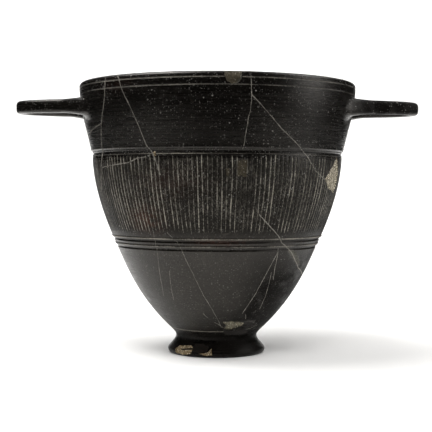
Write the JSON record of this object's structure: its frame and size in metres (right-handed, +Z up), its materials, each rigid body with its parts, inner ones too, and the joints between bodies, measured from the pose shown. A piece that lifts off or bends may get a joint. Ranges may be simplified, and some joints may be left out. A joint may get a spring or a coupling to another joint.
{
  "type": "two-handled deep drinking cup (skyphos)",
  "caption": "Deep black burnished clay cup on a flaring foot, with level loop handles under the lip and a band of upright incised lines.",
  "frame": {"origin": "centre of the foot's underside, on the surface the cup stands on", "axes": "+X along the line through both handles, +Z up the cup's axis, the chipped side faces -Y"},
  "size_m": [0.2416, 0.1646, 0.16],
  "materials": {
    "burnished_clay": "black reduction-fired clay, burnished to a soft sheen, with pale deposits in the incised lines and mended cracks"
  },
  "bodies": {
    "root": {"skyphos": "burnished_clay"}
  },
  "joints": []
}
